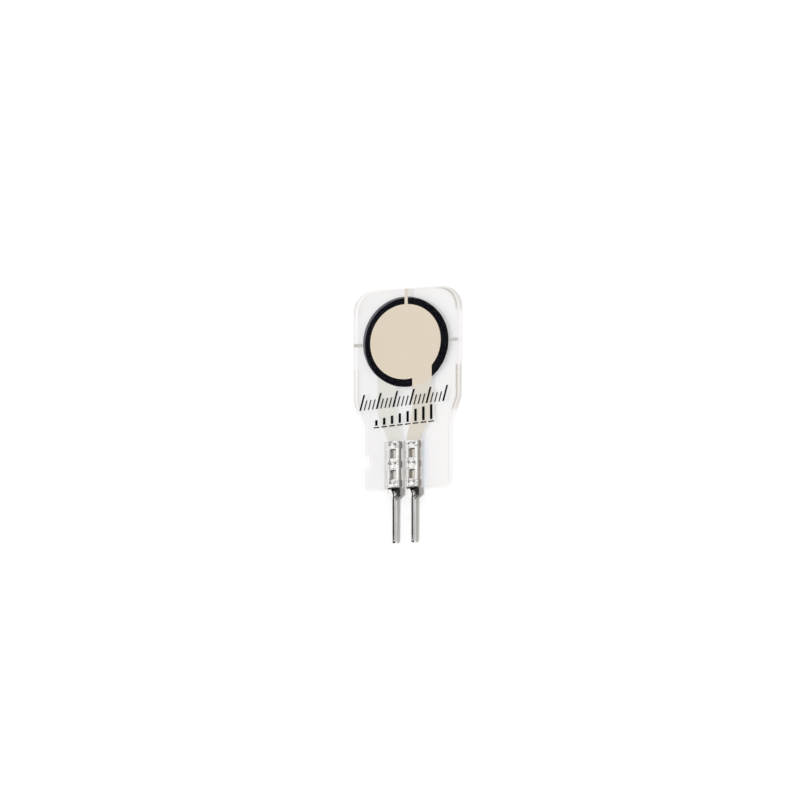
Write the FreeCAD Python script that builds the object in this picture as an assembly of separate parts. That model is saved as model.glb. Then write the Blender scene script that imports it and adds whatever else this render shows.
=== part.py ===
"""A force sensing resistor: two printed polyester films glued face to face, with two crimped pin terminals.

Millimetres. The origin is on the underside of the lower film, below the centre of the sensing disc.
+Y runs up the film, away from the pins, and +Z is the printed side, which is the side that is pressed.
"""

import math
import os

import FreeCAD
import Part
from FreeCAD import Vector

# Film laminate
film_length = 25.4
laminate_thickness = 0.203
film_gauge = 0.075
side_border = 1.005  # film past the ink pocket's radius on each side, for a head 14.0 wide
top_border = 0.725  # film above the ink pocket
head_length = 14.0  # top edge to the start of the taper
taper_length = 3.3
tail_width = 11.6
head_corner_radius = 2.65
taper_bend_radius = 1.6
tail_corner_radius = 0.7
adhesive_margin = 0.3  # film left without adhesive along its edge

# Notch that marks the left side of the tail
notch_from_end = 3.6
notch_height = 1.45
notch_depth = 0.65
notch_radius = 0.35

# Printed layers
sensing_diameter = 9.53
silver_thickness = 0.010
ink_border = 0.90  # ink past the silver all round
top_ink_shift = (0.16, -0.10)  # each black print sits a little off the silver
bottom_ink_shift = (-0.10, 0.08)
ink_pocket_clearance = 0.33  # leaves room for those shifts
tick_width = 0.42
tick_drop = 0.10
top_stub_x = 0.12
bottom_stub_x = 0.40

# Silver leads: wide below the disc, narrow under the terminals
top_lead_width = 2.62
top_lead_x = 2.23
bottom_lead_width = 2.51
bottom_lead_x = -2.54
lead_end_width = 1.95
lead_bend_drop = 9.1  # centre of the disc down to where a lead starts to narrow
lead_bend_length = 3.2
lead_bend_radius = 2.4
lead_end_margin = 0.25  # film left bare below each lead

# Terminals, each stamped and folded from tinned strip
terminal_pitch = 2.54
terminal_row_x = -0.17
strip_thickness = 0.15
face_width = 1.78
face_length = 5.90
face_height = 0.42  # top of the face plate above the film
face_setback = 0.18  # lower edge of the face plate to the film's lower end
face_bend_radius = 0.20
window_width = 0.80
window_height = 1.10
window_pitch = 2.59
window_from_end = 1.95  # centre of the lower window to the film's lower end
window_radius = 0.10

# Tines: through the film on each side of a terminal, and curled up against its back
tine_width = 0.80
tine_pitch = 2.40
tine_from_end = 0.80
curl_depth = 0.45
curl_radius = 0.30
curl_tip_radius = 0.23
curl_tip_gap = 0.09  # tine to the terminal's middle plane
slit_clearance = 0.03

# Round marks that crimping leaves on the face plate, in pairs above the tines
dent_radius = 0.55
dent_depth = 0.035
dent_offset = 0.36

# Shoulder and pin: the strip steps down, and its edges fold over it and close to a seam
pin_length = 6.0  # shoulder corner to tip
shoulder_reach = 0.72  # film's lower end to the shoulder corner
shoulder_taper = 0.55
shoulder_mouth = 0.60  # opening between the folded edges at the face plate
roof_rise = 0.20  # the edges fold over this far above the underside
roof_thickness = 0.13
step_length = 0.34
step_bend_radius = 0.25
pin_width = 0.42
pin_below_face = 0.04
pin_seam = 0.15
pin_edge_radius = 0.07
tip_length = 0.34
tip_width = 0.30
tip_height = 0.26
tip_edge_radius = 0.06

# Places that follow from the sizes
ink_diameter = sensing_diameter + 2 * ink_border
pocket_diameter = ink_diameter + 2 * ink_pocket_clearance
film_width = pocket_diameter + 2 * side_border
top_y = pocket_diameter / 2 + top_border
end_y = top_y - film_length
gap_bottom = film_gauge
gap_top = laminate_thickness - film_gauge
gap_middle = (gap_bottom + gap_top) / 2
face_end_y = end_y + face_setback
face_top = laminate_thickness + face_height
shoulder_y = end_y - shoulder_reach
pin_y = shoulder_y - shoulder_taper
tip_y = shoulder_y - pin_length
pin_top = face_top - pin_below_face
pin_bottom = laminate_thickness  # the shoulder's floor starts on the film
pin_height = pin_top - pin_bottom
tine_x = (face_width - strip_thickness) / 2
tine_ys = [end_y + tine_from_end + i * tine_pitch for i in range(3)]
window_ys = [end_y + window_from_end + i * window_pitch for i in range(2)]
terminal_xs = {
    "left_terminal": terminal_row_x - terminal_pitch / 2,
    "right_terminal": terminal_row_x + terminal_pitch / 2,
}


def rounded_corner(before, corner, after, radius):
    """Start, middle and end of the arc that rounds one corner of an outline."""
    back = (before - corner).normalize()
    ahead = (after - corner).normalize()
    half_angle = back.getAngle(ahead) / 2
    reach = radius / math.tan(half_angle)
    middle = radius / math.sin(half_angle) - radius
    bisector = (back + ahead).normalize()
    return [corner + back * reach, corner + bisector * middle, corner + ahead * reach]


def outline(corners, place):
    """A closed wire through (u, v, radius) corners. place turns u and v into a point in space."""
    points = [Vector(u, v, 0) for u, v, radius in corners]
    spans = []
    for i, (u, v, radius) in enumerate(corners):
        if radius > 0:
            after = points[(i + 1) % len(points)]
            spans.append(rounded_corner(points[i - 1], points[i], after, radius))
        else:
            spans.append([points[i]])
    edges = []
    for i, span in enumerate(spans):
        arc = [place(p.x, p.y) for p in span]
        following = spans[(i + 1) % len(spans)][0]
        if len(arc) == 3:
            edges.append(Part.Arc(*arc).toShape())
        edges.append(Part.makeLine(arc[-1], place(following.x, following.y)))
    return Part.Wire(edges)


def mirrored(right_side):
    """The whole outline from its right half, which runs from the top down."""
    return right_side + [(-u, v, radius) for u, v, radius in reversed(right_side)]


def rectangle(low_x, high_x, low_y, high_y, radius=0.0):
    corners = [(low_x, low_y), (high_x, low_y), (high_x, high_y), (low_x, high_y)]
    return [(x, y, radius) for x, y in corners]


def plate(corners, low_z, high_z):
    """A plan outline in X and Y, raised between two heights."""
    wire = outline(corners, lambda x, y: Vector(x, y, low_z))
    return Part.Face(wire).extrude(Vector(0, 0, high_z - low_z))


def along_y(corners, from_y, to_y):
    """A section in X and Z, drawn out along Y."""
    wire = outline(corners, lambda x, z: Vector(x, from_y, z))
    return Part.Face(wire).extrude(Vector(0, to_y - from_y, 0))


def along_x(corners, half_width):
    """A side view in Y and Z, drawn out along X on both sides of the middle."""
    wire = outline(corners, lambda y, z: Vector(-half_width, y, z))
    return Part.Face(wire).extrude(Vector(2 * half_width, 0, 0))


def disc(diameter, low_z, high_z, shift=(0, 0)):
    return Part.makeCylinder(diameter / 2, high_z - low_z, Vector(*shift, low_z))


def film_layer(low_z, high_z, margin=0.0):
    """The film's outline with its notch and tine slits, set in from the edge by a margin."""
    half_width = film_width / 2 - margin
    tail_half = tail_width / 2 - margin
    taper_y = top_y - head_length
    tail_y = taper_y - taper_length
    right_side = [
        (half_width, top_y - margin, head_corner_radius - margin),
        (half_width, taper_y, taper_bend_radius),
        (tail_half, tail_y, taper_bend_radius),
        (tail_half, end_y + margin, tail_corner_radius - margin),
    ]
    layer = plate(mirrored(right_side), low_z, high_z)
    return layer.cut(notch_and_slits(low_z, high_z, margin))


def notch_and_slits(low_z, high_z, margin):
    """What is punched out of every layer."""
    notch_y = end_y + notch_from_end
    reach = notch_height / 2 + margin
    inner_x = -tail_width / 2 + notch_depth + margin
    outer_x = -tail_width / 2 - notch_depth
    notch = rectangle(outer_x, inner_x, notch_y - reach, notch_y + reach, notch_radius)
    cutters = [plate(notch, low_z, high_z)]
    half_x = strip_thickness / 2 + slit_clearance
    half_y = tine_width / 2 + slit_clearance
    for terminal_x in terminal_xs.values():
        for side in (-1, 1):
            x = terminal_x + side * tine_x
            for y in tine_ys:
                slit = rectangle(x - half_x, x + half_x, y - half_y, y + half_y)
                cutters.append(plate(slit, low_z, high_z))
    return cutters


def lead(start_x, start_width, end_x):
    """A lead from the middle of the disc to the film's lower end, narrowing on the way."""
    bend_y = -lead_bend_drop
    narrow_y = bend_y - lead_bend_length
    foot_y = end_y + lead_end_margin

    def side(sign):
        wide_x = start_x + sign * start_width / 2
        narrow_x = end_x + sign * lead_end_width / 2
        return [
            (wide_x, 0, 0),
            (wide_x, bend_y, lead_bend_radius),
            (narrow_x, narrow_y, lead_bend_radius),
            (narrow_x, foot_y, 0),
        ]

    return side(1) + side(-1)[::-1]


def stub(centre_x):
    """A short strip from the disc to the film's top edge."""
    return rectangle(centre_x - tick_width / 2, centre_x + tick_width / 2, 0, top_y)


def electrode(low_z, high_z, strips):
    """One silver print: the disc and its strips, trimmed to the film."""
    silver = disc(sensing_diameter, low_z, high_z)
    silver = silver.multiFuse([plate(corners, low_z, high_z) for corners in strips])
    return silver.common(film_layer(low_z, high_z)).removeSplitter()


def make_top_electrode():
    strips = [
        lead(top_lead_x, top_lead_width, terminal_xs["right_terminal"]),
        stub(top_stub_x),
    ]
    return electrode(gap_top - silver_thickness, gap_top, strips)


def make_bottom_electrode():
    ticks = rectangle(
        -film_width / 2,
        film_width / 2,
        -tick_drop - tick_width / 2,
        -tick_drop + tick_width / 2,
    )
    strips = [
        lead(bottom_lead_x, bottom_lead_width, terminal_xs["left_terminal"]),
        stub(bottom_stub_x),
        ticks,
    ]
    return electrode(gap_bottom, gap_bottom + silver_thickness, strips)


def sensing_ink(low_z, high_z, silver, shift):
    """The ink disc, which covers the silver disc and meets the film around it."""
    return disc(ink_diameter, low_z, high_z, shift).cut(silver)


def make_adhesive_spacer(silver_prints):
    """Adhesive that fills the gap between the films, with a pocket for the two ink discs."""
    spacer = film_layer(gap_bottom, gap_top, adhesive_margin)
    pocket = disc(pocket_diameter, gap_bottom, gap_top)
    return spacer.cut([pocket] + silver_prints)


def face_channel():
    """The windowed face plate with the two walls that stand on the film."""
    half = face_width / 2
    inner_half = half - strip_thickness
    inner_top = face_top - strip_thickness
    inner_radius = face_bend_radius - strip_thickness
    section = [
        (-half, laminate_thickness, 0),
        (-half, face_top, face_bend_radius),
        (half, face_top, face_bend_radius),
        (half, laminate_thickness, 0),
        (inner_half, laminate_thickness, 0),
        (inner_half, inner_top, inner_radius),
        (-inner_half, inner_top, inner_radius),
        (-inner_half, laminate_thickness, 0),
    ]
    return along_y(section, face_end_y, face_end_y + face_length)


def face_cutters():
    """The windows, and the round dents beside the middle line above each pair of tines."""
    cutters = []
    half_x = window_width / 2
    half_y = window_height / 2
    for y in window_ys:
        window = rectangle(-half_x, half_x, y - half_y, y + half_y, window_radius)
        cutters.append(plate(window, face_top - 2 * strip_thickness, face_top + dent_radius))
    for y in tine_ys:
        for side in (-1, 1):
            centre = Vector(side * dent_offset, y, face_top + dent_radius - dent_depth)
            cutters.append(Part.makeSphere(dent_radius, centre))
    return cutters


def tine(side, y):
    """A tine that leaves a wall, passes the film and curls in and up against the film's back."""
    half = face_width / 2
    root_z = laminate_thickness + strip_thickness
    lowest = -curl_depth
    inside = lowest + strip_thickness
    section = [
        (half, root_z, 0),
        (half, lowest, curl_radius),
        (curl_tip_gap, lowest, curl_tip_radius),
        (curl_tip_gap, 0, 0),
        (curl_tip_gap + strip_thickness, 0, 0),
        (curl_tip_gap + strip_thickness, inside, curl_tip_radius - strip_thickness),
        (half - strip_thickness, inside, curl_radius - strip_thickness),
        (half - strip_thickness, root_z, 0),
    ]
    section = [(side * x, z, radius) for x, z, radius in section]
    return along_y(section, y - tine_width / 2, y + tine_width / 2)


def step_web():
    """The strip that steps down from the face plate to the floor of the shoulder."""
    floor_top = pin_bottom + strip_thickness
    foot_y = face_end_y - step_length
    outer = step_bend_radius
    inner = step_bend_radius - strip_thickness
    side_view = [
        (face_end_y + strip_thickness, face_top, 0),
        (face_end_y, face_top, outer),
        (foot_y, floor_top, inner),
        (shoulder_y, floor_top, 0),
        (shoulder_y, pin_bottom, 0),
        (foot_y, pin_bottom, outer),
        (face_end_y, face_top - strip_thickness, inner),
        (face_end_y + strip_thickness, face_top - strip_thickness, 0),
    ]
    return along_x(side_view, face_width / 2 - strip_thickness)


def shoulder():
    """The walls run on from the face plate, fold over the floor like a roof and close to the pin's seam."""
    half = face_width / 2
    half_seam = pin_seam / 2
    floor_top = pin_bottom + strip_thickness
    fold_z = pin_bottom + roof_rise
    roof_z = pin_top - roof_thickness

    def folded(opening):
        """Right side: outer foot, fold, outer and inner tip of the edge, end of the floor under the fold."""
        return [
            (half, pin_bottom),
            (half, fold_z),
            (opening, pin_top),
            (opening, roof_z),
            (half - strip_thickness, floor_top),
        ]

    closed = [
        (pin_width / 2, pin_bottom),
        (pin_width / 2, pin_top),
        (half_seam, pin_top),
        (half_seam, roof_z),
        (half_seam, floor_top),
    ]
    wires = []
    sections = ((face_end_y, folded(shoulder_mouth / 2)), (shoulder_y, folded(half_seam)), (pin_y, closed))
    for y, right_side in sections:
        corners = mirrored([(x, z, 0) for x, z in right_side])
        wires.append(outline(corners, lambda x, z, y=y: Vector(x, y, z)))
    return Part.makeLoft(wires, True, True)


def pin_shank():
    """The folded pin with its seam on top, up to where the tip starts."""
    half = pin_width / 2
    half_seam = pin_seam / 2
    seam_floor = pin_bottom + strip_thickness
    section = [
        (-half, pin_bottom, pin_edge_radius),
        (half, pin_bottom, pin_edge_radius),
        (half, pin_top, pin_edge_radius),
        (half_seam, pin_top, 0),
        (half_seam, seam_floor, 0),
        (-half_seam, seam_floor, 0),
        (-half_seam, pin_top, 0),
        (-half, pin_top, pin_edge_radius),
    ]
    return along_y(section, pin_y, tip_y + tip_length)


def pin_tip():
    """The coined point, which closes the seam."""
    middle_z = (pin_top + pin_bottom) / 2
    wires = []
    for y, width, height, radius in (
        (tip_y + tip_length, pin_width, pin_height, pin_edge_radius),
        (tip_y, tip_width, tip_height, tip_edge_radius),
    ):
        low_z = middle_z - height / 2
        corners = rectangle(-width / 2, width / 2, low_z, low_z + height, radius)
        wires.append(outline(corners, lambda x, z, y=y: Vector(x, y, z)))
    return Part.makeLoft(wires, True, True)


def make_terminal():
    """One contact from the top of its face plate to the tip of its pin, with x = 0 in its middle plane."""
    body = face_channel().cut(face_cutters())
    tines = [tine(side, y) for side in (-1, 1) for y in tine_ys]
    rest = [step_web(), shoulder(), pin_shank(), pin_tip()]
    return body.multiFuse(tines + rest).removeSplitter()


def make_part():
    """Every node by name."""
    top_electrode = make_top_electrode()
    bottom_electrode = make_bottom_electrode()
    nodes = {
        "bottom_film": film_layer(0, gap_bottom),
        "bottom_electrode": bottom_electrode,
        "bottom_sensing_ink": sensing_ink(gap_bottom, gap_middle, bottom_electrode, bottom_ink_shift),
        "adhesive_spacer": make_adhesive_spacer([top_electrode, bottom_electrode]),
        "top_sensing_ink": sensing_ink(gap_middle, gap_top, top_electrode, top_ink_shift),
        "top_electrode": top_electrode,
        "top_film": film_layer(gap_top, laminate_thickness),
    }
    terminal = make_terminal()
    for name, x in terminal_xs.items():
        nodes[name] = terminal.translated(Vector(x, 0, 0))
    return nodes


os.makedirs("parts", exist_ok=True)
for name, shape in make_part().items():
    if len(shape.Solids) != 1 or not shape.isValid():
        raise ValueError(f"{name} has {len(shape.Solids)} solids, valid: {shape.isValid()}")
    shape.Solids[0].exportStep(f"parts/{name}.step")
    box = shape.BoundBox
    print(f"{name}: {shape.Volume:.4f} mm3, {box.XLength:.2f} x {box.YLength:.2f} x {box.ZLength:.3f}")
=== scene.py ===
"""Looks of a film force sensor: clear polyester, printed silver and ink, crimped tin-plated terminals."""

import math

import bmesh
import bpy
from mathutils import Matrix, Vector


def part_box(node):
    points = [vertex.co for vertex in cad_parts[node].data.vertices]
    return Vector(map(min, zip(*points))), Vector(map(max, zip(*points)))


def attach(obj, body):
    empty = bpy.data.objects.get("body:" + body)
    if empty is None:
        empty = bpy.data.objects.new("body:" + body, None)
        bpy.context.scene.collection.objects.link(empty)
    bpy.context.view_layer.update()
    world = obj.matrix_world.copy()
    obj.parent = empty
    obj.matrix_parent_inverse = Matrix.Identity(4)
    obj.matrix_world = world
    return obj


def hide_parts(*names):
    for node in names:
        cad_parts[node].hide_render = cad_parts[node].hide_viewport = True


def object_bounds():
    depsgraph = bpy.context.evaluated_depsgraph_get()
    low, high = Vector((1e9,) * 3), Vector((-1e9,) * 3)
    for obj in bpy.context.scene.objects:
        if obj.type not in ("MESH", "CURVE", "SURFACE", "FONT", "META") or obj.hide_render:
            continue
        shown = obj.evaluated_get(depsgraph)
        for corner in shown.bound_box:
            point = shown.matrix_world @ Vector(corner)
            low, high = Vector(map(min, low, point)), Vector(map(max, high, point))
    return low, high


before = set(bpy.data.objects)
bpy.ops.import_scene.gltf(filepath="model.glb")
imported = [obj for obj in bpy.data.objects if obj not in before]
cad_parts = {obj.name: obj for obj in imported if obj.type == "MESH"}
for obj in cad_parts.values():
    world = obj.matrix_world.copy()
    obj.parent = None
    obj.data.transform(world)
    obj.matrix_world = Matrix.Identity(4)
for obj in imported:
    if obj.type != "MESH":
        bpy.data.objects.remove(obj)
cad_low, cad_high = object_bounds()

MM = 0.001
MICRON = 0.001 * MM

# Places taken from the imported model, in metres
film_face_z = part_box("top_film")[1].z
silver_under_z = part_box("top_electrode")[0].z
under_silver_top_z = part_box("bottom_electrode")[1].z
ink_low, ink_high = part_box("top_sensing_ink")
under_ink_top_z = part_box("bottom_sensing_ink")[1].z
terminal_low, terminal_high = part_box("left_terminal")
terminal_middle = (terminal_low.x + terminal_high.x) / 2

# Print layers lie a hair apart, so that no two faces share a plane
LAYER_GAP = 2 * MICRON

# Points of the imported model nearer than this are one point
MERGE_DISTANCE = 0.5 * MICRON

# The materials of a film or adhesive layer, in their order on the mesh
OPEN_FACE, INNER_FACE, CUT_EDGE, SHADED_RIM = range(4)

# Lengths from here on are in millimetres where no MM or MICRON stands beside them

# A plain scale printed on the film: slanted ticks over a row of rising bars, each bar on a foot line
PRINT_THICKNESS = 4 * MICRON
PRINT_TILT = 0.055
SCALE_X = (-6.1, 5.1)
SCALE_Y = -8.45
SCALE_TICKS = 21
TICK_SIZE = (0.17, 1.25)
LONG_TICK_SIZE = (0.26, 2.0)
LONG_TICK_EVERY = 4
TICK_LEAN = 0.28
BAR_X = (-3.9, 3.5)
BAR_Y = -10.45
BAR_COUNT = 8
BAR_SIZE = (0.34, 0.7)
BAR_GROWTH = 1.2
FOOT_SIZE = (0.75, 0.16)
FOOT_DROP = 0.32

# The ink discs' rims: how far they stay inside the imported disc, and two waves round them
DISC_SEGMENTS = 360
DISC_MARGIN = 0.012
DISC_WAVE = 0.006
DISC_WAVES_ROUND = 23
DISC_RIPPLE = 0.005
DISC_RIPPLES_ROUND = 57

# The terminals, the stretches of their face plates and pins, and how softly a stretch ends
TERMINAL_PITCH = 2.54
FACE_Y = (-18.5, -12.6)
PIN_Y = (-24.4, -19.7)
STRETCH_FADE = 0.1

# Rounding of the stamped edges, and the turns that count as sharp and as flat
EDGE_ROUNDING = 0.02
SHARP_TURN = math.radians(38)
FLAT_TURN = math.radians(1.0)

# A wall's normal leans no more than this out of the level, and an upper edge lies this near to the top
WALL_LEAN = 0.1
TOP_REACH = 0.01

# The windows' walls lie within reach of a terminal's middle, and one height parts the two windows
WINDOW_REACH = 0.55
WINDOWS_PART_Y = -15.5

# The punch draws a window in, sets it lower and rolls its edge over
WINDOW_INSET = 0.08
WINDOW_DROP = 0.10
WINDOW_ROLLOVER = 0.11

# Small dents that the crimping tool leaves in rows across the face plate
DENT_ROW_Y = -15.5
DENT_PITCH = 2.57
DENT_ROW_WAVE = (-0.4, 0.6)
DENT_SIZE = 0.26
DENT_SLOPE = (0.12, 0.45)
DENT_DEPTH = 0.10

# A dent comes up as its chance passes between two limits, and chances rise towards the plate's lower end
DENT_CHANCE = (0.45, 0.7)
MORE_DENTS_Y = (-17.2, -18.0)
MORE_DENTS = 0.35

# Soft patches in the tin, and the rolling lines of the strip, which are drawn as coarse as they need to show
PATCH_SIZE = 0.5
PATCH_DEPTH = 0.02
PATCH_SHARE = (0.3, 0.7)
ROLLING_LINE = 0.035
ROLLING_STRETCH = (1.0, 0.06, 1.0)
ROLLING_DEPTH = 0.004

# Where painted shade darkens the tin: walls that face right, hollows that face down the image, creases and a
# seam's lips
SHADED_WALL_FACING = (0.6, 0.95)
SHADED_HOLLOW_FACING = (-0.15, -0.6)
CREASE_REACH = 0.55
CREASE_SHARE = (0.25, 0.95)
SEAM_LIPS = (-0.10, 0.07)
SEAM_FADE = 0.02

# The film's faint cloud, which clears from left to right, and its waves
FILM_CLOUD = 5.0
CLOUD_X = (-6.0, 6.0)
CLOUD_START = 0.6
FILM_WAVE = 4.0
FILM_WAVE_DEPTH = 0.02

# Painted contact shade in a strip left of each terminal, and a bluish painted shadow fading out past the
# right one
PAINTED_SHADE_STRIP = (-0.45, -0.17)
PAINTED_SHADE_FADE = 0.12
PAINTED_SHADOW_REACH = 1.2
PAINTED_SHADOW_START = 0.1

# A rim band inside the film's outline carries painted shade, most at the taper, the upper corners and the
# right
RIM_WIDTH = 0.24
RIM_TAPER_Y = (-8.6, -3.4)
RIM_TAPER_FADE = 0.4
RIM_CORNER_Y = (4.2, 6.1)
RIM_CORNER_FADE = 0.8
RIM_RIGHT_X = (4.5, 9.0)
RIM_RIGHT_FADE = 0.8
# On the head's left, painted shade stands in for the film's shadow, which falls to the right of the rim there
RIM_LEFT_X = (-9.0, -6.7)
RIM_LEFT_FADE = 0.4

# How strongly the rim's painted shade shows from left to right, in its uneven patches, to the eye and in the
# key light
RIM_SIDE_SHARE = (0.35, 1.0)
RIM_PATCH = 1.2
RIM_PATCH_SHARE = (0.6, 1.2)
RIM_SEEN = 0.7
RIM_SHADOW = 1.5

# The grain that a blade leaves on a cut edge and a mesh leaves in ink, drawn as coarse as it needs to show
EDGE_GRAIN = 0.6
PRINT_GRAIN = 0.12
PRINT_GRAIN_DEPTH = 0.004
PRINT_GRAIN_SHARE = (0.25, 0.75)

# How softly the black ink's rim ends behind the silver, and where the lower silver's side ticks lie
BORDER_FADE = 0.1
TICK_PRINT_Y = (-1.5, 1.5)
TICK_PRINT_FADE = 0.3

# The film's sheen: the share of a mirror's strength, and an index of refraction matched to the photograph
FILM_GLOSS = 0.15
FILM_IOR = 1.30

# Share of the key light that goes on to the table through an open film face, and through a thin print
FILM_SHADOW = 0.90
PRINT_SHADOW = 0.80

# Share of sight, and of the key light, that passes a die-cut edge
EDGE_CLEAR = 0.8
EDGE_SHADOW = 0.1

# Share of the key light that passes the right part of a terminal over the film, by way of the film round it
PLATE_SHADOW = 0.9
RIGHT_PART = (0.10, 0.35)
FILM_END_Y = (-18.9, -18.4)

# Share of the light scattered by the table that passes prints and terminals, so contact shadows stay soft
SCATTER_PASS = 0.3

# The table touches the lowest row of curled tines and falls away a little towards the head
REST_TINES = (-17.9 * MM, cad_low.z)
REST_SLOPE = -0.012

# Half the table's side, and how near and how far the camera sees, in metres
TABLE_HALF = 2.0
CLIP = (0.01, 20.0)

# The photograph's view: image right and image up in the part's frame, its centre, its scale and the lens
VIEW_RIGHT = Vector((0.926, 0.0, -0.377))
VIEW_UP = Vector((0.0576, 0.9887, 0.1385))
VIEW_CENTRE = Vector((-0.70 * MM, -7.375 * MM, film_face_z))
PHOTO_PIXELS = 800
PIXELS_PER_MM = 7.99
LENS = 200.0
SENSOR = 36.0

# One soft key light from the left
KEY_FROM = Vector((-0.34, -0.12, 1.0)).normalized()
KEY_COLOUR = (1.0, 1.01, 1.06)
KEY_STRENGTH = 1.78
KEY_ANGLE = math.radians(13)

# Even light from all round, for scattered light and for reflections past the first
AMBIENT = 0.51
AMBIENT_COLOUR = "#FFFCF6"
FIRST_MIRROR_DEPTH = 2.5

# The room in the first reflection is bright on the left. A side comes up between two cosines from its middle
ROOM_BRIGHT_SIDE = Vector((-0.66, 0.52, 0.54))
ROOM_BRIGHT_FADE = (0.60, 0.82)
ROOM_BRIGHT = 1.1
ROOM_DARK = 0.022

# The room's fainter right side
ROOM_FAINT_SIDE = Vector((0.85, 0.10, 0.50))
ROOM_FAINT_FADE = (0.75, 0.95)
ROOM_FAINT = 0.4

# The room's low walls, which end towards its ceiling
ROOM_CEILING = Vector((0.0, 0.0, 1.0))
ROOM_WALLS_FADE = (0.35, 0.60)
ROOM_LOW_WALLS = 0.5

# A ray may cross this many clear faces, so that it gets through both films and back from the table
CLEAR_FACES = 32


def linear(code, alpha=1.0):
    """A colour written as sRGB hex, as the linear values that a shader takes."""
    def channel(start):
        value = int(code[start:start + 2], 16) / 255
        if value <= 0.04045:
            return value / 12.92
        return ((value + 0.055) / 1.055) ** 2.4
    return (channel(1), channel(3), channel(5), alpha)


def node(tree, kind, inputs=None, **settings):
    """Adds one node. An input is a value for its socket or an output socket to link from."""
    made = tree.nodes.new(kind)
    for name, value in settings.items():
        setattr(made, name, value)
    for name, value in (inputs or {}).items():
        socket = made.inputs[name]
        if isinstance(value, bpy.types.NodeSocket):
            tree.links.new(value, socket)
        else:
            socket.default_value = value
    return made


def new_material(name):
    """An empty node material and its tree."""
    material = bpy.data.materials.new(name)
    material.use_nodes = True
    material.node_tree.nodes.clear()
    return material, material.node_tree


def surface(tree, shader):
    """Makes a shader the material's surface."""
    node(tree, "ShaderNodeOutputMaterial", {"Surface": shader})


def let_through(tree, shader, shadow_share, scatter_share):
    """The shader, with a share of shadow rays and of scattered rays passing straight through."""
    path = node(tree, "ShaderNodeLightPath")
    inputs = {0: path.outputs["Is Shadow Ray"], 1: shadow_share}
    shadow = node(tree, "ShaderNodeMath", inputs, operation="MULTIPLY").outputs[0]
    inputs = {0: path.outputs["Is Diffuse Ray"], 1: scatter_share, 2: shadow}
    share = node(tree, "ShaderNodeMath", inputs, operation="MULTIPLY_ADD", use_clamp=True).outputs[0]
    through = node(tree, "ShaderNodeBsdfTransparent", {"Color": linear("#FFFFFF")}).outputs[0]
    return node(tree, "ShaderNodeMixShader", {0: share, 1: shader, 2: through}).outputs[0]


def object_noise(tree, size_mm, detail=2.0, stretch=(1.0, 1.0, 1.0)):
    """Noise on Object coordinates whose features are about size_mm across."""
    place = node(tree, "ShaderNodeTexCoord").outputs["Object"]
    mapped = node(tree, "ShaderNodeMapping", {"Vector": place, "Scale": stretch}).outputs[0]
    inputs = {"Vector": mapped, "Scale": 1 / (size_mm * MM), "Detail": detail}
    return node(tree, "ShaderNodeTexNoise", inputs).outputs["Fac"]


def blend_colours(tree, factor, first, second, low=0.0, high=1.0):
    """A ramp between two hex colours, driven by a factor."""
    ramp = node(tree, "ShaderNodeValToRGB", {"Fac": factor})
    ramp.color_ramp.elements[0].position = low
    ramp.color_ramp.elements[0].color = linear(first)
    ramp.color_ramp.elements[1].position = high
    ramp.color_ramp.elements[1].color = linear(second)
    return ramp.outputs["Color"]


def part_axes(tree):
    """The place on the part, as one socket for each axis."""
    place = node(tree, "ShaderNodeTexCoord").outputs["Object"]
    return node(tree, "ShaderNodeSeparateXYZ", {"Vector": place}).outputs


def between(tree, value, limits_mm, fade_mm):
    """1 where a length lies between two limits, fading to 0 outside them."""
    low, high = limits_mm
    rise = {"Value": value, "From Min": (low - fade_mm) * MM, "From Max": low * MM}
    fall = {"Value": value, "From Min": high * MM, "From Max": (high + fade_mm) * MM}
    fall.update({"To Min": 1.0, "To Max": 0.0})
    rising = node(tree, "ShaderNodeMapRange", rise).outputs[0]
    falling = node(tree, "ShaderNodeMapRange", fall).outputs[0]
    return node(tree, "ShaderNodeMath", {0: rising, 1: falling}, operation="MULTIPLY").outputs[0]


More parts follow.
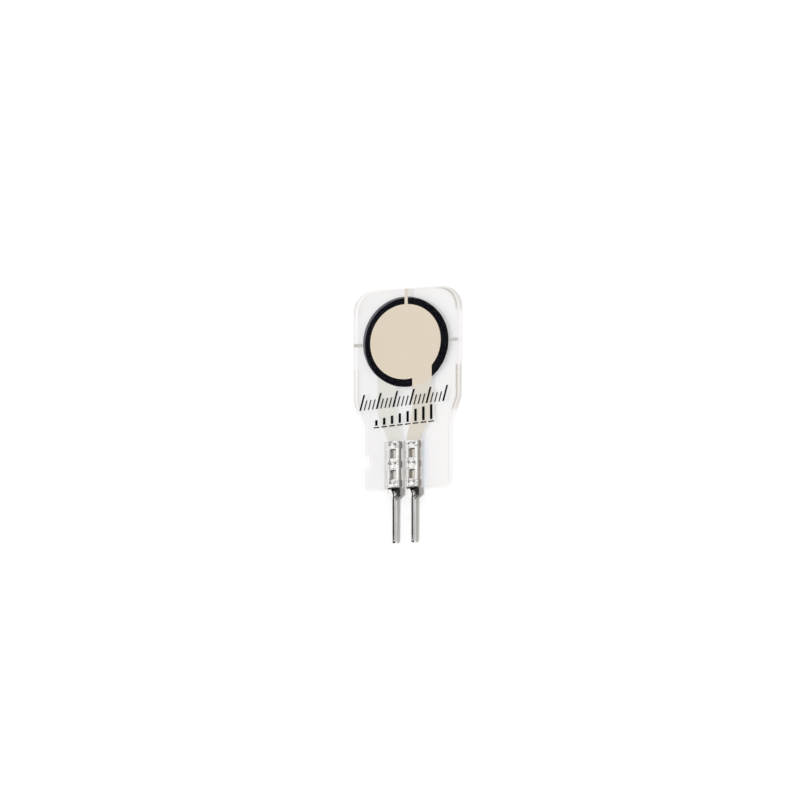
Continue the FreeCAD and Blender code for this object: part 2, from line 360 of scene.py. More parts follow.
def film_tint(tree):
    """The film's tint: a faint cloud, with painted shade left of each terminal and a bluish painted shadow
    past the right one.
    """
    axes = part_axes(tree)
    inputs = {"Value": axes["X"], "From Min": CLOUD_X[0] * MM, "From Max": CLOUD_X[1] * MM}
    across = node(tree, "ShaderNodeMapRange", inputs).outputs[0]
    inputs = {0: across, 1: object_noise(tree, FILM_CLOUD, detail=1.0)}
    cloud = node(tree, "ShaderNodeMath", inputs, operation="ADD").outputs[0]
    tint = blend_colours(tree, cloud, "#FDFDFD", "#FFFFFF", low=CLOUD_START)

    # Painted contact shade: a darker strip left of each terminal, along its face plate
    strips = []
    for edge in (terminal_low.x / MM, terminal_low.x / MM + TERMINAL_PITCH):
        strip = (edge + PAINTED_SHADE_STRIP[0], edge + PAINTED_SHADE_STRIP[1])
        strips.append(between(tree, axes["X"], strip, PAINTED_SHADE_FADE))
    painted_shade = node(tree, "ShaderNodeMath", {0: strips[0], 1: strips[1]}, operation="ADD").outputs[0]
    along = between(tree, axes["Y"], FACE_Y, STRETCH_FADE)
    painted_shade = node(tree, "ShaderNodeMath", {0: painted_shade, 1: along}, operation="MULTIPLY").outputs[0]
    inputs = {"Factor": painted_shade, "A": tint, "B": linear("#F0F0EF")}
    tint = node(tree, "ShaderNodeMix", inputs, data_type="RGBA").outputs["Result"]

    # Painted shadow: a bluish tint that fades out to the right of the right terminal
    edge = terminal_high.x / MM + TERMINAL_PITCH
    inputs = {"Value": axes["X"], "From Min": edge * MM, "From Max": (edge + PAINTED_SHADOW_REACH) * MM}
    inputs.update({"To Min": 1.0, "To Max": 0.0})
    painted_shadow = node(tree, "ShaderNodeMapRange", inputs).outputs[0]
    inputs = {0: axes["X"], 1: (edge - PAINTED_SHADOW_START) * MM}
    past = node(tree, "ShaderNodeMath", inputs, operation="GREATER_THAN").outputs[0]
    painted_shadow = node(tree, "ShaderNodeMath", {0: painted_shadow, 1: past}, operation="MULTIPLY").outputs[0]
    along = between(tree, axes["Y"], FACE_Y, PAINTED_SHADOW_REACH)
    painted_shadow = node(tree, "ShaderNodeMath", {0: painted_shadow, 1: along}, operation="MULTIPLY").outputs[0]
    inputs = {"Factor": painted_shadow, "A": tint, "B": linear("#F3F7FD")}
    return node(tree, "ShaderNodeMix", inputs, data_type="RGBA").outputs["Result"]


def clear_polyester():
    """Drawn PET film, clear and glossy: it dims what lies behind it a little and mirrors the room faintly."""
    material, tree = new_material("clear_polyester_film")
    path = node(tree, "ShaderNodeLightPath").outputs
    inputs = {"Factor": path["Is Camera Ray"], "A": linear("#FFFFFF"), "B": film_tint(tree)}
    clear = node(tree, "ShaderNodeMix", inputs, data_type="RGBA").outputs["Result"]
    inputs = {"Value": path["Is Shadow Ray"], "To Min": 1.0, "To Max": FILM_SHADOW}
    passed = node(tree, "ShaderNodeMapRange", inputs).outputs[0]
    colour = node(tree, "ShaderNodeVectorMath", {0: clear, "Scale": passed}, operation="SCALE").outputs[0]
    body = node(tree, "ShaderNodeBsdfTransparent", {"Color": colour}).outputs[0]

    inputs = {"Height": object_noise(tree, FILM_WAVE), "Strength": 0.08, "Distance": FILM_WAVE_DEPTH * MM}
    waves = node(tree, "ShaderNodeBump", inputs).outputs[0]
    inputs = {"Color": linear("#FFFFFF"), "Roughness": 0.06, "Normal": waves}
    gloss = node(tree, "ShaderNodeBsdfGlossy", inputs).outputs[0]
    fresnel = node(tree, "ShaderNodeFresnel", {"IOR": FILM_IOR}).outputs[0]
    weak = node(tree, "ShaderNodeMath", {0: fresnel, 1: FILM_GLOSS}, operation="MULTIPLY").outputs[0]
    inputs = {0: weak, 1: path["Is Camera Ray"]}
    mirror = node(tree, "ShaderNodeMath", inputs, operation="MULTIPLY").outputs[0]
    surface(tree, node(tree, "ShaderNodeMixShader", {0: mirror, 1: body, 2: gloss}).outputs[0])
    return material


def film_rim():
    """The rim band of the cut: painted shade where the outline turns, for the light the cut bends away, and a
    darker shadow.
    """
    material, tree = new_material("polyester_cut_rim")
    axes = part_axes(tree)
    taper = between(tree, axes["Y"], RIM_TAPER_Y, RIM_TAPER_FADE)
    corner = between(tree, axes["Y"], RIM_CORNER_Y, RIM_CORNER_FADE)
    turns = node(tree, "ShaderNodeMath", {0: taper, 1: corner}, operation="ADD").outputs[0]
    right = between(tree, axes["X"], RIM_RIGHT_X, RIM_RIGHT_FADE)
    inputs = {"Value": right, "To Min": RIM_SIDE_SHARE[0], "To Max": RIM_SIDE_SHARE[1]}
    side = node(tree, "ShaderNodeMapRange", inputs).outputs[0]
    inputs = {0: turns, 1: side}
    dark = node(tree, "ShaderNodeMath", inputs, operation="MULTIPLY", use_clamp=True).outputs[0]
    patches = object_noise(tree, RIM_PATCH)
    inputs = {"Value": patches, "To Min": RIM_PATCH_SHARE[0], "To Max": RIM_PATCH_SHARE[1]}
    uneven = node(tree, "ShaderNodeMapRange", inputs).outputs[0]
    dark = node(tree, "ShaderNodeMath", {0: dark, 1: uneven}, operation="MULTIPLY").outputs[0]
    shadow = node(tree, "ShaderNodeLightPath").outputs["Is Shadow Ray"]
    inputs = {"Value": shadow, "To Min": RIM_SEEN, "To Max": RIM_SHADOW}
    gain = node(tree, "ShaderNodeMapRange", inputs).outputs[0]
    inputs = {0: dark, 1: gain}
    amount = node(tree, "ShaderNodeMath", inputs, operation="MULTIPLY", use_clamp=True).outputs[0]

    # The head's left rim lies outside the film's own shadow, so painted shade tones it down to match the film
    # beside it
    left = between(tree, axes["X"], RIM_LEFT_X, RIM_LEFT_FADE)
    pale = blend_colours(tree, left, "#FFFEFE", "#F9F8F8")
    inputs = {"Factor": amount, "A": pale, "B": linear("#DDD8D2")}
    colour = node(tree, "ShaderNodeMix", inputs, data_type="RGBA").outputs["Result"]
    surface(tree, node(tree, "ShaderNodeBsdfTransparent", {"Color": colour}).outputs[0])
    return material


def hazy_layer(name, cloud_mm, detail, clear_below, haze, colour):
    """A clear layer with a faint milky cloud, up to a share of haze where the cloud is thickest."""
    material, tree = new_material(name)
    inputs = {"Value": object_noise(tree, cloud_mm, detail), "From Min": clear_below, "To Max": haze}
    share = node(tree, "ShaderNodeMapRange", inputs).outputs[0]
    body = node(tree, "ShaderNodeBsdfTransparent", {"Color": linear("#FFFFFF")}).outputs[0]
    milk = node(tree, "ShaderNodeBsdfDiffuse", {"Color": linear(colour)}).outputs[0]
    surface(tree, node(tree, "ShaderNodeMixShader", {0: share, 1: body, 2: milk}).outputs[0])
    return material


def cut_edge(name, first, second):
    """A die-cut edge. The blade leaves it rough, so it scatters light and reads as a thin line."""
    material, tree = new_material(name)
    colour = blend_colours(tree, object_noise(tree, EDGE_GRAIN), first, second)
    diffuse = node(tree, "ShaderNodeBsdfDiffuse", {"Color": colour}).outputs[0]
    through = node(tree, "ShaderNodeBsdfTransparent", {"Color": linear("#FFFFFF")}).outputs[0]
    shadow = node(tree, "ShaderNodeLightPath").outputs["Is Shadow Ray"]
    inputs = {"Value": shadow, "To Min": EDGE_CLEAR, "To Max": EDGE_SHADOW}
    share = node(tree, "ShaderNodeMapRange", inputs).outputs[0]
    surface(tree, node(tree, "ShaderNodeMixShader", {0: share, 1: diffuse, 2: through}).outputs[0])
    return material


def past_black_ink(tree):
    """1 where the upper silver runs on past the black ink that otherwise lies behind it."""
    place = node(tree, "ShaderNodeTexCoord").outputs["Object"]
    inputs = {0: place, 1: (1.0, 1.0, 0.0)}
    flat = node(tree, "ShaderNodeVectorMath", inputs, operation="MULTIPLY").outputs[0]
    middle = (*((ink_low + ink_high) / 2).xy, 0.0)
    flat = node(tree, "ShaderNodeVectorMath", {0: flat, 1: middle}, operation="SUBTRACT").outputs[0]
    reach = node(tree, "ShaderNodeVectorMath", {0: flat}, operation="LENGTH").outputs["Value"]
    radius = (ink_high.x - ink_low.x) / 2
    inputs = {"Value": reach, "From Min": radius - BORDER_FADE * MM, "From Max": radius + BORDER_FADE * MM}
    return node(tree, "ShaderNodeMapRange", inputs).outputs[0]


def side_ticks(tree):
    """1 over the lower silver's ticks to the side edges, which are fine lines and print heavier."""
    return between(tree, part_axes(tree)["Y"], TICK_PRINT_Y, TICK_PRINT_FADE)


def screen_print(name, colours, roughness, other_colours=None, region=None):
    """Ink squeezed through a mesh, with a fine grain. The film wets it, so no gloss of its own is left.

    other_colours are a second pair, for the part of the print that region marks.
    """
    material, tree = new_material(name)
    grain = object_noise(tree, PRINT_GRAIN, detail=3.0)
    colour = blend_colours(tree, grain, *colours, *PRINT_GRAIN_SHARE)
    if other_colours:
        other = blend_colours(tree, grain, *other_colours, *PRINT_GRAIN_SHARE)
        inputs = {"Factor": region(tree), "A": colour, "B": other}
        colour = node(tree, "ShaderNodeMix", inputs, data_type="RGBA").outputs["Result"]
    inputs = {"Height": grain, "Strength": 0.25, "Distance": PRINT_GRAIN_DEPTH * MM}
    bump = node(tree, "ShaderNodeBump", inputs).outputs[0]
    inputs = {"Base Color": colour, "Roughness": roughness, "Specular IOR Level": 0.0, "Normal": bump}
    print_body = node(tree, "ShaderNodeBsdfPrincipled", inputs).outputs[0]
    surface(tree, let_through(tree, print_body, math.sqrt(PRINT_SHADOW), math.sqrt(SCATTER_PASS)))
    return material


def tin_colour(tree, patches, terminal_x, y, on_plate):
    """Tin with soft patches, with painted shade on the face plate's right walls and where it faces down the
    image.

    Painted shade lies along the lips of a pin's seam too. Creases hold little light, so painted shade darkens
    them, for the camera only, by how closed in they are.
    """
    tin = blend_colours(tree, patches, "#E6E4E0", "#F8F7F5", *PATCH_SHARE)
    normal = node(tree, "ShaderNodeNewGeometry").outputs["Normal"]
    facing = node(tree, "ShaderNodeSeparateXYZ", {"Vector": normal}).outputs
    inputs = {"Value": facing["X"], "From Min": SHADED_WALL_FACING[0], "From Max": SHADED_WALL_FACING[1]}
    right = node(tree, "ShaderNodeMapRange", inputs).outputs[0]
    walls = node(tree, "ShaderNodeMath", {0: right, 1: on_plate}, operation="MULTIPLY").outputs[0]
    inputs = {"Value": facing["Y"], "From Min": SHADED_HOLLOW_FACING[0], "From Max": SHADED_HOLLOW_FACING[1]}
    hollow = node(tree, "ShaderNodeMapRange", inputs).outputs[0]
    limits = (terminal_middle / MM + SEAM_LIPS[0], terminal_middle / MM + SEAM_LIPS[1])
    lips = between(tree, terminal_x, limits, SEAM_FADE)
    on_pin = between(tree, y, PIN_Y, STRETCH_FADE)
    seam = node(tree, "ShaderNodeMath", {0: lips, 1: on_pin}, operation="MULTIPLY").outputs[0]
    # Painted shade: on right-facing plate walls, on faces towards the tips, and along the seam's lips
    for share, shade in ((walls, "#C6BEB4"), (hollow, "#1E1411"), (seam, "#1C1210")):
        inputs = {"Factor": share, "A": tin, "B": linear(shade)}
        tin = node(tree, "ShaderNodeMix", inputs, data_type="RGBA").outputs["Result"]

    # Painted shade in creases, for the camera only, by how closed in they are
    inputs = {"Distance": CREASE_REACH * MM}
    open_share = node(tree, "ShaderNodeAmbientOcclusion", inputs).outputs["AO"]
    crease = blend_colours(tree, open_share, "#1C1512", "#FFFFFF", *CREASE_SHARE)
    seen = node(tree, "ShaderNodeLightPath").outputs["Is Camera Ray"]
    inputs = {"Factor": seen, "A": tin, "B": crease}
    return node(tree, "ShaderNodeMix", inputs, data_type="RGBA", blend_type="MULTIPLY").outputs["Result"]


def crimp_dents(tree, y, on_plate):
    """The height of the dents: 1 at the middle of each, in rows across the face plate."""
    turn = 2 * math.pi / (DENT_PITCH * MM)
    inputs = {0: y, 1: turn, 2: -DENT_ROW_Y * MM * turn}
    angle = node(tree, "ShaderNodeMath", inputs, operation="MULTIPLY_ADD").outputs[0]
    wave = node(tree, "ShaderNodeMath", {0: angle}, operation="COSINE").outputs[0]
    inputs = {"Value": wave, "From Min": DENT_ROW_WAVE[0], "From Max": DENT_ROW_WAVE[1]}
    in_row = node(tree, "ShaderNodeMapRange", inputs).outputs[0]

    place = node(tree, "ShaderNodeTexCoord").outputs["Object"]
    inputs = {"Vector": place, "Scale": 1 / (DENT_SIZE * MM)}
    cells = node(tree, "ShaderNodeTexVoronoi", inputs, distance="EUCLIDEAN").outputs
    inputs = {"Value": y, "From Min": MORE_DENTS_Y[0] * MM, "From Max": MORE_DENTS_Y[1] * MM}
    inputs["To Max"] = MORE_DENTS
    more = node(tree, "ShaderNodeMapRange", inputs).outputs[0]
    chance = node(tree, "ShaderNodeSeparateXYZ", {"Vector": cells["Color"]}).outputs["X"]
    chance = node(tree, "ShaderNodeMath", {0: chance, 1: more}, operation="ADD").outputs[0]
    inputs = {"Value": chance, "From Min": DENT_CHANCE[0], "From Max": DENT_CHANCE[1]}
    kept = node(tree, "ShaderNodeMapRange", inputs).outputs[0]
    inputs = {"Value": cells["Distance"], "From Min": DENT_SLOPE[0], "From Max": DENT_SLOPE[1]}
    inputs.update({"To Min": 1.0, "To Max": 0.0})
    height = node(tree, "ShaderNodeMapRange", inputs, interpolation_type="SMOOTHSTEP").outputs[0]
    for share in (kept, in_row, on_plate):
        height = node(tree, "ShaderNodeMath", {0: height, 1: share}, operation="MULTIPLY").outputs[0]
    return height


def tin_plate():
    """Bright tin electroplated on rolled copper alloy strip: a soft mirror, dented by the crimping tool.

    terminal_x is the place across a terminal, the right one's being read on the left one.
    """
    material, tree = new_material("bright_tin_plate")
    axes = part_axes(tree)
    half_pitch = TERMINAL_PITCH / 2 * MM
    inputs = {0: axes["X"], 1: terminal_middle + half_pitch, 2: terminal_middle - half_pitch}
    terminal_x = node(tree, "ShaderNodeMath", inputs, operation="WRAP").outputs[0]
    on_plate = between(tree, axes["Y"], FACE_Y, STRETCH_FADE)

    lines = object_noise(tree, ROLLING_LINE, detail=2.0, stretch=ROLLING_STRETCH)
    patches = object_noise(tree, PATCH_SIZE, detail=4.0)
    dents = crimp_dents(tree, axes["Y"], on_plate)
    inputs = {"Height": dents, "Strength": 1.0, "Distance": -DENT_DEPTH * MM}
    relief = node(tree, "ShaderNodeBump", inputs).outputs[0]
    inputs = {"Height": patches, "Strength": 0.5, "Distance": PATCH_DEPTH * MM, "Normal": relief}
    relief = node(tree, "ShaderNodeBump", inputs).outputs[0]
    inputs = {"Height": lines, "Strength": 0.15, "Distance": ROLLING_DEPTH * MM, "Normal": relief}
    relief = node(tree, "ShaderNodeBump", inputs).outputs[0]

    colour = tin_colour(tree, patches, terminal_x, axes["Y"], on_plate)
    inputs = {"Value": patches, "To Min": 0.14, "To Max": 0.26}
    rough = node(tree, "ShaderNodeMapRange", inputs).outputs[0]
    inputs = {"Base Color": colour, "Metallic": 1.0, "Roughness": rough, "Normal": relief}
    metal = node(tree, "ShaderNodeBsdfPrincipled", inputs).outputs[0]

    inputs = {"Value": terminal_x}
    inputs["From Min"] = terminal_middle + RIGHT_PART[0] * MM
    inputs["From Max"] = terminal_middle + RIGHT_PART[1] * MM
    right_part = node(tree, "ShaderNodeMapRange", inputs).outputs[0]
    inputs = {"Value": axes["Y"], "From Min": FILM_END_Y[0] * MM, "From Max": FILM_END_Y[1] * MM}
    inputs["To Max"] = math.sqrt(PLATE_SHADOW)
    over_film = node(tree, "ShaderNodeMapRange", inputs).outputs[0]
    inputs = {0: right_part, 1: over_film}
    shadow_share = node(tree, "ShaderNodeMath", inputs, operation="MULTIPLY").outputs[0]
    surface(tree, let_through(tree, metal, shadow_share, math.sqrt(SCATTER_PASS)))
    return material


def new_piece(name, mesh, materials):
    """A linked object at the origin, with these materials on the mesh."""
    piece = bpy.data.objects.new(name, mesh)
    for material in materials:
        mesh.materials.append(material)
    bpy.context.collection.objects.link(piece)
    return piece


def copy_of(node_name):
    """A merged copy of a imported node's mesh, as a bmesh in metres."""
    shape = bmesh.new()
    shape.from_mesh(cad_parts[node_name].data)
    bmesh.ops.remove_doubles(shape, verts=shape.verts, dist=MERGE_DISTANCE)
    return shape


def finish_mesh(shape, name):
    """The mesh of a bmesh, which is freed."""
    mesh = bpy.data.meshes.new(name)
    shape.to_mesh(mesh)
    shape.free()
    return mesh


def evaluated_mesh(piece):
    """A plain mesh of what an object's modifiers make."""
    bpy.context.view_layer.update()
    evaluated = piece.evaluated_get(bpy.context.evaluated_depsgraph_get())
    return bpy.data.meshes.new_from_object(evaluated)


def clear_layer(name, node_name, face_materials, outer_side):
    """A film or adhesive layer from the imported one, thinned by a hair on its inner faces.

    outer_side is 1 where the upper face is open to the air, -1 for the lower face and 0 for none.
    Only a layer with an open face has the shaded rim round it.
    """
    low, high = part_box(node_name)
    shape = copy_of(node_name)
    for vert in shape.verts:
        if outer_side != 1 and abs(vert.co.z - high.z) < MICRON:
            vert.co.z -= LAYER_GAP
        if outer_side != -1 and abs(vert.co.z - low.z) < MICRON:
            vert.co.z += LAYER_GAP
    shape.normal_update()
    for face in shape.faces:
        if abs(face.normal.z) < 0.5:
            face.material_index = CUT_EDGE
        elif face.normal.z * outer_side > 0:
            face.material_index = OPEN_FACE
        else:
            face.material_index = INNER_FACE
    if outer_side:
        open_faces = [face for face in shape.faces if face.material_index == OPEN_FACE]
        bmesh.ops.scale(shape, vec=(1 / MM, 1 / MM, 1 / MM), verts=shape.verts)
        rim = bmesh.ops.inset_region(
            shape,
            faces=open_faces,
            thickness=RIM_WIDTH,
            use_even_offset=True,
            use_boundary=True,
        )
        bmesh.ops.scale(shape, vec=(MM, MM, MM), verts=shape.verts)
        for face in rim["faces"]:
            face.material_index = SHADED_RIM
    piece = new_piece(name, finish_mesh(shape, name), face_materials)
    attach(piece, "root")
    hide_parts(node_name)


def silver_layer(name, node_name, material):
    """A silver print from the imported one, a hair thinner on both faces."""
    low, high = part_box(node_name)
    middle = (low.z + high.z) / 2
    shape = copy_of(node_name)
    for vert in shape.verts:
        vert.co.z += LAYER_GAP if vert.co.z < middle else -LAYER_GAP
    piece = new_piece(name, finish_mesh(shape, name), [material])
    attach(piece, "root")
    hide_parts(node_name)


def ink_disc(name, node_name, low_z, high_z, material):
    """A printed ink disc with the faintly uneven rim that a screen leaves."""
    low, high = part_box(node_name)
    centre = (low + high) / 2
    radius = (high.x - low.x) / 2
    shape = bmesh.new()
    rings = []
    for z in (low_z, high_z):
        ring = []
        for i in range(DISC_SEGMENTS):
            angle = 2 * math.pi * i / DISC_SEGMENTS
            uneven = DISC_WAVE * math.sin(DISC_WAVES_ROUND * angle)
            uneven += DISC_RIPPLE * math.sin(DISC_RIPPLES_ROUND * angle + 1.0)
            reach = radius - (DISC_MARGIN - uneven) * MM
            place = (centre.x + reach * math.cos(angle), centre.y + reach * math.sin(angle), z)
            ring.append(shape.verts.new(place))
        rings.append(ring)
    lower, upper = rings
    shape.faces.new(upper)
    shape.faces.new(lower[::-1])
    for i in range(DISC_SEGMENTS):
        j = (i + 1) % DISC_SEGMENTS
        shape.faces.new((lower[i], lower[j], upper[j], upper[i]))
    piece = new_piece(name, finish_mesh(shape, name), [material])
    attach(piece, "root")
    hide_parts(node_name)


def printed_row_tree():
    """Geometry nodes for a row of printed bars. One in Interval bars is a long one, and the row may climb."""
    tree = bpy.data.node_groups.new("printed_row", "GeometryNodeTree")
    tree.is_modifier = True
    tree.interface.new_socket("Geometry", in_out="OUTPUT", socket_type="NodeSocketGeometry")
    for name in ("Count", "Interval"):
        tree.interface.new_socket(name, in_out="INPUT", socket_type="NodeSocketInt")
    for name in ("First X", "Last X", "Foot Y", "Foot Z", "Width", "Height", "Long Width", "Long Height"):
        tree.interface.new_socket(name, in_out="INPUT", socket_type="NodeSocketFloat")
    for name in ("Thickness", "Growth", "Lean", "Tilt"):
        tree.interface.new_socket(name, in_out="INPUT", socket_type="NodeSocketFloat")
    tree.interface.new_socket("Ink", in_out="INPUT", socket_type="NodeSocketMaterial")
    given = node(tree, "NodeGroupInput").outputs

    start = node(tree, "ShaderNodeCombineXYZ", {"X": given["First X"]}).outputs[0]
    end = node(tree, "ShaderNodeCombineXYZ", {"X": given["Last X"]}).outputs[0]
    inputs = {"Count": given["Count"], "Start Location": start, "Offset": end}
    feet = node(tree, "GeometryNodeMeshLine", inputs, mode="END_POINTS").outputs[0]

    index = node(tree, "GeometryNodeInputIndex").outputs[0]
    inputs = {0: index, 1: given["Interval"]}
    turn = node(tree, "ShaderNodeMath", inputs, operation="MODULO").outputs[0]
    is_long = node(tree, "ShaderNodeMath", {0: turn, 1: 0.5}, operation="LESS_THAN").outputs[0]
    inputs = {"Factor": is_long, "A": given["Width"], "B": given["Long Width"]}
    width = node(tree, "ShaderNodeMix", inputs).outputs[0]
    inputs = {"Factor": is_long, "A": given["Height"], "B": given["Long Height"]}
    height = node(tree, "ShaderNodeMix", inputs).outputs[0]
    inputs = {0: index, 1: given["Growth"], 2: height}
    height = node(tree, "ShaderNodeMath", inputs, operation="MULTIPLY_ADD").outputs[0]
    inputs = {"X": width, "Y": height, "Z": given["Thickness"]}
    size = node(tree, "ShaderNodeCombineXYZ", inputs).outputs[0]

    block = node(tree, "GeometryNodeMeshCube", {"Size": (1.0, 1.0, 1.0)}).outputs["Mesh"]
    inputs = {"Geometry": block, "Translation": (0.0, 0.5, 0.5)}
    bar = node(tree, "GeometryNodeTransform", inputs).outputs[0]
    inputs = {"Points": feet, "Instance": bar, "Scale": size}
    bars = node(tree, "GeometryNodeInstanceOnPoints", inputs).outputs[0]
    bars = node(tree, "GeometryNodeRealizeInstances", {"Geometry": bars}).outputs[0]

    place = node(tree, "GeometryNodeInputPosition").outputs[0]
    axes = node(tree, "ShaderNodeSeparateXYZ", {"Vector": place}).outputs
    inputs = {0: axes["Y"], 1: given["Lean"]}
    lean = node(tree, "ShaderNodeMath", inputs, operation="MULTIPLY").outputs[0]
    inputs = {0: axes["X"], 1: given["First X"]}
    along = node(tree, "ShaderNodeMath", inputs, operation="SUBTRACT").outputs[0]
    inputs = {0: along, 1: given["Tilt"], 2: given["Foot Y"]}
    climb = node(tree, "ShaderNodeMath", inputs, operation="MULTIPLY_ADD").outputs[0]
    shift = node(tree, "ShaderNodeCombineXYZ", {"X": lean, "Y": climb, "Z": given["Foot Z"]}).outputs[0]
    bars = node(tree, "GeometryNodeSetPosition", {"Geometry": bars, "Offset": shift}).outputs[0]
    inputs = {"Geometry": bars, "Material": given["Ink"]}
    inked = node(tree, "GeometryNodeSetMaterial", inputs).outputs[0]
    node(tree, "NodeGroupOutput", {"Geometry": inked})
    return tree


def printed_row(tree, material, ends_x, foot_y, size, long_size, **values):
    """The mesh of one row, from sizes in millimetres. The values are its counts and slopes, as they are."""
    sizes = {"First X": ends_x[0], "Last X": ends_x[1], "Foot Y": foot_y}
    sizes.update({"Width": size[0], "Height": size[1]})
    sizes.update({"Long Width": long_size[0], "Long Height": long_size[1]})
    values.update({name: length * MM for name, length in sizes.items()})
    values.update({"Foot Z": film_face_z, "Thickness": PRINT_THICKNESS, "Tilt": PRINT_TILT, "Ink": material})
    row = new_piece("printed_row", bpy.data.meshes.new("printed_row"), [])
    modifier = row.modifiers.new("row", "NODES")
    modifier.node_group = tree
    for socket in tree.interface.items_tree:
        if socket.in_out == "INPUT":
            modifier[socket.identifier] = values[socket.name]
    baked = evaluated_mesh(row)
    bpy.data.objects.remove(row)
    return baked


def make_scale_print(material):
    """A plain graduated scale over a row of rising bars, in black on the top film."""
    tree = printed_row_tree()
    ticks = {"Count": SCALE_TICKS, "Interval": LONG_TICK_EVERY, "Growth": 0.0, "Lean": TICK_LEAN}
    bars = {"Count": BAR_COUNT, "Interval": 1, "Growth": BAR_GROWTH / (BAR_COUNT - 1) * MM, "Lean": 0.0}
    feet = {"Count": BAR_COUNT, "Interval": 1, "Growth": 0.0, "Lean": 0.0}
    shape = bmesh.new()
    shape.from_mesh(printed_row(tree, material, SCALE_X, SCALE_Y, TICK_SIZE, LONG_TICK_SIZE, **ticks))
    shape.from_mesh(printed_row(tree, material, BAR_X, BAR_Y, BAR_SIZE, BAR_SIZE, **bars))
    shape.from_mesh(printed_row(tree, material, BAR_X, BAR_Y - FOOT_DROP, FOOT_SIZE, FOOT_SIZE, **feet))
    piece = new_piece("scale_print", finish_mesh(shape, "scale_print"), [material])
    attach(piece, "root")


def roll_windows(shape, middle_x, top_z):
    """The punch draws the strip in round each window and rolls its upper edge over. In millimetres."""
    def in_window(vert):
        return abs(vert.co.x - middle_x) < WINDOW_REACH and FACE_Y[0] < vert.co.y < FACE_Y[1]

    walls = []
    for face in shape.faces:
        if abs(face.normal.z) < WALL_LEAN and all(in_window(vert) for vert in face.verts):
            walls.append(face)
    rim = {vert for face in walls for vert in face.verts}
    rim_edges = {edge for face in walls for edge in face.edges}
    lower_window = [vert for vert in rim if vert.co.y < WINDOWS_PART_Y]
    upper_window = [vert for vert in rim if vert.co.y > WINDOWS_PART_Y]
    for window in (lower_window, upper_window):
        for axis in (0, 1):
            places = [vert.co[axis] for vert in window]
            middle = (min(places) + max(places)) / 2
            shrink = 1 - 2 * WINDOW_INSET / (max(places) - min(places))
            for vert in window:
                vert.co[axis] = middle + (vert.co[axis] - middle) * shrink
        for vert in window:
            vert.co.y -= WINDOW_DROP
    upper_edges = []
    for edge in shape.edges:
        if edge in rim_edges and all(abs(vert.co.z - top_z) < TOP_REACH for vert in edge.verts):
            upper_edges.append(edge)
    bmesh.ops.bevel(
        shape,
        geom=upper_edges,
        offset=WINDOW_ROLLOVER,
        offset_type="OFFSET",
        segments=4,
        profile=0.5,
        affect="EDGES",
    )


def make_terminal(name, node_name, material):
    """A terminal with rounded stamped edges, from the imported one. Bevels are cut at millimetre size."""
    low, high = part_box(node_name)
    shape = copy_of(node_name)
    bmesh.ops.scale(shape, vec=(1 / MM, 1 / MM, 1 / MM), verts=shape.verts)
    bmesh.ops.dissolve_limit(shape, angle_limit=FLAT_TURN, verts=shape.verts, edges=shape.edges)
    roll_windows(shape, (low.x + high.x) / 2 / MM, high.z / MM)
    sharp = []
    for edge in shape.edges:
        if edge.is_manifold and edge.calc_face_angle() > SHARP_TURN:
            sharp.append(edge)
    bmesh.ops.bevel(
        shape,
        geom=sharp,
        offset=EDGE_ROUNDING,
        offset_type="OFFSET",
        segments=2,
        profile=0.5,
        affect="EDGES",
        clamp_overlap=True,
    )
    bmesh.ops.scale(shape, vec=(MM, MM, MM), verts=shape.verts)
    bmesh.ops.triangulate(shape, faces=shape.faces)
    mesh = finish_mesh(shape, name)
    for polygon in mesh.polygons:
        polygon.use_smooth = True
    piece = new_piece(name, mesh, [material])
    weighted = piece.modifiers.new("weighted", "WEIGHTED_NORMAL")
    weighted.keep_sharp = True
    piece.data = evaluated_mesh(piece)
    piece.modifiers.clear()
    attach(piece, "root")
    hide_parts(node_name)


def make_floor():
    """A white table under the part, a little darker as a light source than it is to the camera."""
    material, tree = new_material("white_table_top")
    grain = object_noise(tree, 3.0)
    seen = node(tree, "ShaderNodeLightPath").outputs["Is Camera Ray"]
    inputs = {"Factor": seen}
    inputs["A"] = blend_colours(tree, grain, "#E4E4E4", "#E2E2E2")
    inputs["B"] = blend_colours(tree, grain, "#FFFFFF", "#FEFEFE")
    colour = node(tree, "ShaderNodeMix", inputs, data_type="RGBA").outputs["Result"]
    surface(tree, node(tree, "ShaderNodeBsdfDiffuse", {"Color": colour}).outputs[0])
    corners = []
    for x, y in ((-1, -1), (1, -1), (1, 1), (-1, 1)):
        fall = REST_SLOPE * (y * TABLE_HALF - REST_TINES[0])
        corners.append((x * TABLE_HALF, y * TABLE_HALF, REST_TINES[1] + fall))
    mesh = bpy.data.meshes.new("table")
    mesh.from_pydata(corners, [], [(0, 1, 2, 3)])
    floor = new_piece("table", mesh, [material])


def make_camera():
    """A long lens, square on to the photograph's line of sight."""
    data = bpy.data.cameras.new("camera")
    data.lens = LENS
    data.sensor_width = SENSOR
    data.clip_start, data.clip_end = CLIP
    camera = bpy.data.objects.new("camera", data)
    bpy.context.collection.objects.link(camera)
    back = VIEW_RIGHT.cross(VIEW_UP).normalized()
    right = VIEW_UP.cross(back).normalized()
    width = PHOTO_PIXELS / PIXELS_PER_MM * MM
    distance = width * LENS / SENSOR
    turn = Matrix((right, VIEW_UP.normalized(), back)).transposed().to_4x4()
    camera.matrix_world = Matrix.Translation(VIEW_CENTRE + back * distance) @ turn
    bpy.context.scene.camera = camera


def make_key_light():
    """A large soft lamp, which is not mirrored in the metal."""
    data = bpy.data.lights.new("key", "SUN")
    data.energy = KEY_STRENGTH
    data.color = KEY_COLOUR
    data.angle = KEY_ANGLE
    key = bpy.data.objects.new("key", data)
    key.rotation_mode = "QUATERNION"
    key.rotation_quaternion = KEY_FROM.to_track_quat("Z", "Y")
    key.visible_glossy = False
    bpy.context.collection.objects.link(key)


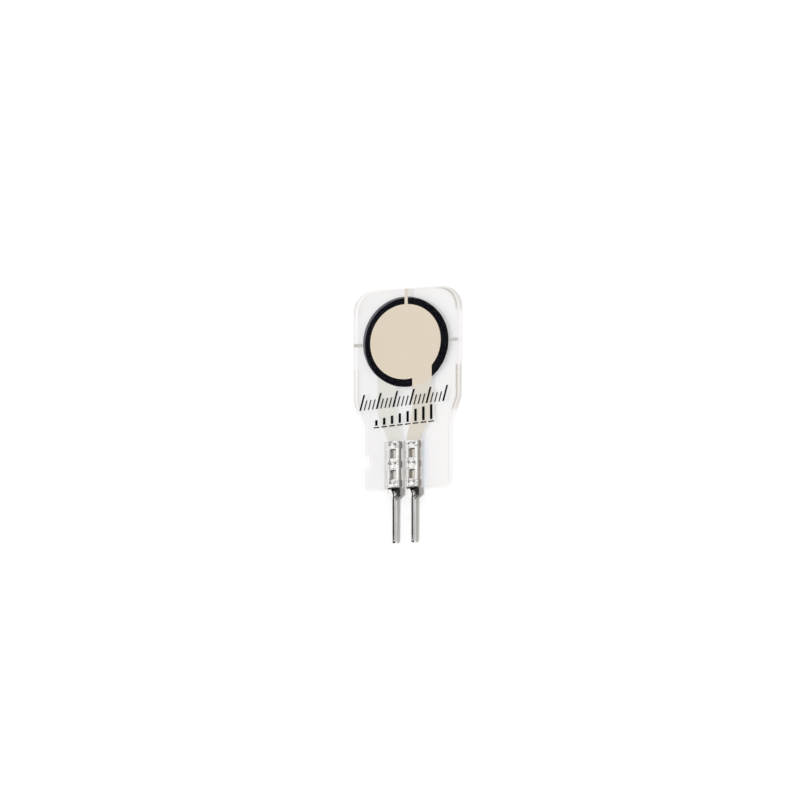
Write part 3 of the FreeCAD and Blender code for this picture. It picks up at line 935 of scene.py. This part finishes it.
def make_room():
    """White to the camera, a lit room to the first reflection, and even light to all else."""
    world = bpy.data.worlds.new("room")
    bpy.context.scene.world = world
    world.use_nodes = True
    tree = world.node_tree
    tree.nodes.clear()
    direction = node(tree, "ShaderNodeTexCoord").outputs["Generated"]

    def towards(aim, fade, outside, inside):
        inputs = {0: direction, 1: aim.normalized()}
        facing = node(tree, "ShaderNodeVectorMath", inputs, operation="DOT_PRODUCT").outputs["Value"]
        inputs = {"Value": facing, "From Min": fade[0], "From Max": fade[1]}
        inputs.update({"To Min": outside, "To Max": inside})
        return node(tree, "ShaderNodeMapRange", inputs, interpolation_type="SMOOTHSTEP").outputs[0]

    bright = towards(ROOM_BRIGHT_SIDE, ROOM_BRIGHT_FADE, ROOM_DARK, ROOM_BRIGHT)
    faint = towards(ROOM_FAINT_SIDE, ROOM_FAINT_FADE, 0.0, ROOM_FAINT)
    walls = towards(ROOM_CEILING, ROOM_WALLS_FADE, ROOM_LOW_WALLS, 0.0)
    sides = node(tree, "ShaderNodeMath", {0: bright, 1: faint}, operation="ADD").outputs[0]
    room = node(tree, "ShaderNodeMath", {0: sides, 1: walls}, operation="MAXIMUM").outputs[0]

    path = node(tree, "ShaderNodeLightPath").outputs
    inputs = {0: path["Ray Depth"], 1: FIRST_MIRROR_DEPTH}
    first = node(tree, "ShaderNodeMath", inputs, operation="LESS_THAN").outputs[0]
    inputs = {0: path["Is Glossy Ray"], 1: first}
    glossy = node(tree, "ShaderNodeMath", inputs, operation="MULTIPLY").outputs[0]
    mirrored = node(tree, "ShaderNodeMix", {"Factor": glossy, "A": AMBIENT, "B": room}).outputs["Result"]
    inputs = {"Factor": path["Is Camera Ray"], "A": mirrored, "B": 1.0}
    strength = node(tree, "ShaderNodeMix", inputs).outputs["Result"]
    inputs = {"Factor": path["Is Diffuse Ray"], "A": linear("#FFFFFF"), "B": linear(AMBIENT_COLOUR)}
    tone = node(tree, "ShaderNodeMix", inputs, data_type="RGBA").outputs["Result"]
    background = node(tree, "ShaderNodeBackground", {"Color": tone, "Strength": strength}).outputs[0]
    node(tree, "ShaderNodeOutputWorld", {"Surface": background})
    world.cycles.sampling_method = "NONE"


bpy.context.scene.view_settings.view_transform = "Standard"
bpy.context.scene.cycles.transparent_max_bounces = CLEAR_FACES
make_camera()
make_key_light()
make_room()
make_floor()

# The inner face of each film is wetted by print or adhesive, so it has no gloss of its own
bonded_face = hazy_layer(
    "polyester_bonded_face",
    cloud_mm=3.0,
    detail=2.0,
    clear_below=0.0,
    haze=0.006,
    colour="#F4F4F6",
)
film_edge = cut_edge("polyester_cut_edge", "#CFCAC7", "#E0DDDC")
film_faces = [clear_polyester(), bonded_face, film_edge, film_rim()]
clear_layer("film_top", "top_film", film_faces, 1)
clear_layer("film_bottom", "bottom_film", film_faces, -1)

# Pressure sensitive acrylic, printed wet: clear with a faint cloud
adhesive_face = hazy_layer(
    "acrylic_adhesive_face",
    cloud_mm=1.4,
    detail=3.0,
    clear_below=0.3,
    haze=0.01,
    colour="#EFEFEC",
)
adhesive_edge = cut_edge("adhesive_edge", "#D9D6D6", "#E4E2E2")
adhesive_faces = [adhesive_face, adhesive_face, adhesive_edge]
clear_layer("adhesive", "adhesive_spacer", adhesive_faces, 0)

# Silver paste dries to a matt cream over the black ink, and is greyer where it lies on the clear film alone
top_silver = screen_print(
    "silver_print_top",
    ("#DDD0BC", "#E6DBC9"),
    0.55,
    ("#DAD4C8", "#E2DDD2"),
    past_black_ink,
)
bottom_silver = screen_print(
    "silver_print_bottom",
    ("#E0E0D9", "#E8E8E2"),
    0.55,
    ("#C2C1BB", "#CCCBC6"),
    side_ticks,
)
silver_layer("silver_top", "top_electrode", top_silver)
silver_layer("silver_bottom", "bottom_electrode", bottom_silver)

# Carbon ink that changes resistance with pressure, near black on the upper disc
top_ink = screen_print("carbon_ink_top", ("#07070C", "#0E0E16"), 0.45)
bottom_ink = screen_print("carbon_ink_bottom", ("#68686E", "#747479"), 0.45)
ink_disc("ink_top", "top_sensing_ink", ink_low.z + LAYER_GAP, silver_under_z - LAYER_GAP, top_ink)
under_ink_low_z = under_silver_top_z + LAYER_GAP
ink_disc("ink_bottom", "bottom_sensing_ink", under_ink_low_z, under_ink_top_z - LAYER_GAP, bottom_ink)

# Black printing ink for the scale on the top film
legend_ink = screen_print("black_legend_ink", ("#08080A", "#141416"), 0.5)
make_scale_print(legend_ink)

tin = tin_plate()
make_terminal("terminal_left", "left_terminal", tin)
make_terminal("terminal_right", "right_terminal", tin)
